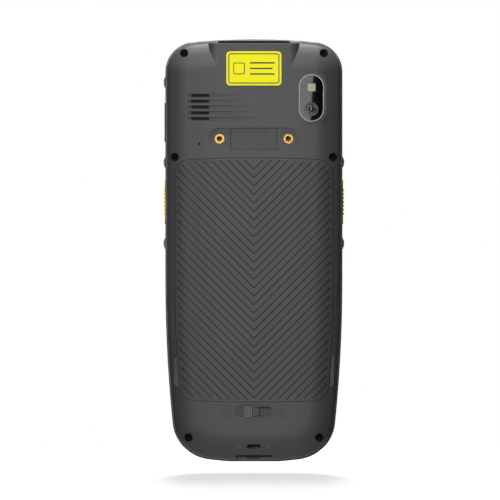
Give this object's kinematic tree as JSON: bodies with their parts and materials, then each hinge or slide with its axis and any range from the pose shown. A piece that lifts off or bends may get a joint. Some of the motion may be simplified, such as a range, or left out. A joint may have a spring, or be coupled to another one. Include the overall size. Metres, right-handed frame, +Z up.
{
  "type": "handheld barcode terminal",
  "caption": "Rugged hand-held data terminal with scan window, keypad, touch display, rear camera and a latched, grooved battery cover.",
  "frame": {"origin": "middle of the flat foot at the bottom end, centred in width and depth", "axes": "+Z up along the terminal to the scan window, -Y out of the back, +Y out of the display"},
  "size_m": [0.0684, 0.0176, 0.16],
  "materials": {
    "rear_shell": "fine-textured moulded plastic",
    "front_shell": "fine-textured moulded plastic",
    "cover_shell": "fine-textured moulded plastic with cut chevrons",
    "seal": "silicone rubber",
    "screw_steel": "black zinc screws",
    "battery_wrap": "battery case",
    "inner_plastic": "plain moulded plastic",
    "gold": "gold-plated contacts",
    "insert_brass": "knurled brass",
    "latch_plastic": "moulded plastic",
    "spring_steel": "stamped steel",
    "ring_metal": "anodised ring",
    "camera_pane": "dark coated glass",
    "lens": "lens barrel",
    "flash": "clear lamp cover over yellow phosphor",
    "mesh": "acoustic mesh",
    "label": "yellow film",
    "scan_pane": "dark red scan window",
    "engine_metal": "die-cast",
    "bracket_steel": "stamped steel",
    "cover_glass": "toughened touch glass with black border",
    "display": "display module",
    "bezel_plastic": "moulded plastic",
    "key_dark": "key cap",
    "key_yellow": "yellow key cap",
    "board": "printed circuit board",
    "can_steel": "tinned steel"
  },
  "bodies": {
    "casing": {"rear_casing": "rear_shell", "front_casing": "front_shell", "casing_seal": "seal", "casing_screws": "screw_steel", "cover_seal": "seal", "battery_pack": "battery_wrap", "contact_block": "inner_plastic", "contact_pins": "gold", "latch_retainer": "spring_steel", "threaded_inserts": "insert_brass", "accessory_plate": "latch_plastic", "camera_ring": "ring_metal", "camera_glass": "camera_pane", "camera_holder": "inner_plastic", "camera_module": "lens", "flash_lamp": "flash", "speaker_mesh": "mesh", "speaker": "inner_plastic", "microphone": "mesh", "label_tag": "label", "scan_window": "scan_pane", "scan_engine": "engine_metal", "scan_bracket": "bracket_steel", "touch_glass": "cover_glass", "display_module": "display", "earpiece": "inner_plastic", "keypad_bezel": "bezel_plastic", "keypad_mat": "seal", "key_domes": "can_steel", "keypad_board": "board", "board_connector": "inner_plastic", "main_board": "board", "shield_cans": "can_steel", "usb_socket": "can_steel", "side_switches": "can_steel"},
    "battery_cover": {"battery_cover": "cover_shell"},
    "latch_slider": {"latch_slider": "latch_plastic"},
    "side_key_left": {"side_key_left": "key_yellow"},
    "side_key_right": {"side_key_right": "key_yellow"},
    "volume_rocker": {"volume_rocker": "key_dark"},
    "key_menu": {"key_menu": "key_dark"},
    "key_scan": {"key_scan": "key_yellow"},
    "key_power": {"key_power": "key_dark"},
    "key_1": {"key_1": "key_dark"},
    "key_2": {"key_2": "key_dark"},
    "key_3": {"key_3": "key_dark"},
    "key_delete": {"key_delete": "key_dark"},
    "key_4": {"key_4": "key_dark"},
    "key_5": {"key_5": "key_dark"},
    "key_6": {"key_6": "key_dark"},
    "key_up": {"key_up": "key_dark"},
    "key_7": {"key_7": "key_dark"},
    "key_8": {"key_8": "key_dark"},
    "key_9": {"key_9": "key_dark"},
    "key_down": {"key_down": "key_dark"},
    "key_star": {"key_star": "key_dark"},
    "key_0": {"key_0": "key_dark"},
    "key_hash": {"key_hash": "key_dark"},
    "key_enter": {"key_enter": "key_dark"}
  },
  "joints": [
    {"name": "cover_tilt", "type": "hinge", "parent": "casing", "child": "battery_cover", "pos_m": [0, -0.0085, 0.1148], "axis": [-1, 0, 0], "range_deg": [0, 45]},
    {"name": "latch_slide", "type": "slide", "parent": "casing", "child": "latch_slider", "axis": [1, 0, 0], "range_m": [0, 0.00435]},
    {"name": "scan_press_left", "type": "slide", "parent": "casing", "child": "side_key_left", "axis": [1, 0, 0], "range_m": [0, 0.0005], "stiffness_N_per_m": 600, "springref_m": -0.001},
    {"name": "scan_press_right", "type": "slide", "parent": "casing", "child": "side_key_right", "axis": [-1, 0, 0], "range_m": [0, 0.0005], "stiffness_N_per_m": 600, "springref_m": -0.001},
    {"name": "volume_tilt", "type": "hinge", "parent": "casing", "child": "volume_rocker", "pos_m": [-0.0315, 0.003, 0.1284], "axis": [0, 1, 0], "range_deg": [-2, 2], "stiffness_Nm_per_rad": 0.05},
    {"name": "key_menu_press", "type": "slide", "parent": "casing", "child": "key_menu", "axis": [0, -1, 0], "range_m": [0, 0.0005], "stiffness_N_per_m": 600, "springref_m": -0.001},
    {"name": "key_scan_press", "type": "slide", "parent": "casing", "child": "key_scan", "axis": [0, -1, 0], "range_m": [0, 0.0005], "stiffness_N_per_m": 600, "springref_m": -0.001},
    {"name": "key_power_press", "type": "slide", "parent": "casing", "child": "key_power", "axis": [0, -1, 0], "range_m": [0, 0.0005], "stiffness_N_per_m": 600, "springref_m": -0.001},
    {"name": "key_1_press", "type": "slide", "parent": "casing", "child": "key_1", "axis": [0, -1, 0], "range_m": [0, 0.0005], "stiffness_N_per_m": 600, "springref_m": -0.001},
    {"name": "key_2_press", "type": "slide", "parent": "casing", "child": "key_2", "axis": [0, -1, 0], "range_m": [0, 0.0005], "stiffness_N_per_m": 600, "springref_m": -0.001},
    {"name": "key_3_press", "type": "slide", "parent": "casing", "child": "key_3", "axis": [0, -1, 0], "range_m": [0, 0.0005], "stiffness_N_per_m": 600, "springref_m": -0.001},
    {"name": "key_delete_press", "type": "slide", "parent": "casing", "child": "key_delete", "axis": [0, -1, 0], "range_m": [0, 0.0005], "stiffness_N_per_m": 600, "springref_m": -0.001},
    {"name": "key_4_press", "type": "slide", "parent": "casing", "child": "key_4", "axis": [0, -1, 0], "range_m": [0, 0.0005], "stiffness_N_per_m": 600, "springref_m": -0.001},
    {"name": "key_5_press", "type": "slide", "parent": "casing", "child": "key_5", "axis": [0, -1, 0], "range_m": [0, 0.0005], "stiffness_N_per_m": 600, "springref_m": -0.001},
    {"name": "key_6_press", "type": "slide", "parent": "casing", "child": "key_6", "axis": [0, -1, 0], "range_m": [0, 0.0005], "stiffness_N_per_m": 600, "springref_m": -0.001},
    {"name": "key_up_press", "type": "slide", "parent": "casing", "child": "key_up", "axis": [0, -1, 0], "range_m": [0, 0.0005], "stiffness_N_per_m": 600, "springref_m": -0.001},
    {"name": "key_7_press", "type": "slide", "parent": "casing", "child": "key_7", "axis": [0, -1, 0], "range_m": [0, 0.0005], "stiffness_N_per_m": 600, "springref_m": -0.001},
    {"name": "key_8_press", "type": "slide", "parent": "casing", "child": "key_8", "axis": [0, -1, 0], "range_m": [0, 0.0005], "stiffness_N_per_m": 600, "springref_m": -0.001},
    {"name": "key_9_press", "type": "slide", "parent": "casing", "child": "key_9", "axis": [0, -1, 0], "range_m": [0, 0.0005], "stiffness_N_per_m": 600, "springref_m": -0.001},
    {"name": "key_down_press", "type": "slide", "parent": "casing", "child": "key_down", "axis": [0, -1, 0], "range_m": [0, 0.0005], "stiffness_N_per_m": 600, "springref_m": -0.001},
    {"name": "key_star_press", "type": "slide", "parent": "casing", "child": "key_star", "axis": [0, -1, 0], "range_m": [0, 0.0005], "stiffness_N_per_m": 600, "springref_m": -0.001},
    {"name": "key_0_press", "type": "slide", "parent": "casing", "child": "key_0", "axis": [0, -1, 0], "range_m": [0, 0.0005], "stiffness_N_per_m": 600, "springref_m": -0.001},
    {"name": "key_hash_press", "type": "slide", "parent": "casing", "child": "key_hash", "axis": [0, -1, 0], "range_m": [0, 0.0005], "stiffness_N_per_m": 600, "springref_m": -0.001},
    {"name": "key_enter_press", "type": "slide", "parent": "casing", "child": "key_enter", "axis": [0, -1, 0], "range_m": [0, 0.0005], "stiffness_N_per_m": 600, "springref_m": -0.001}
  ]
}
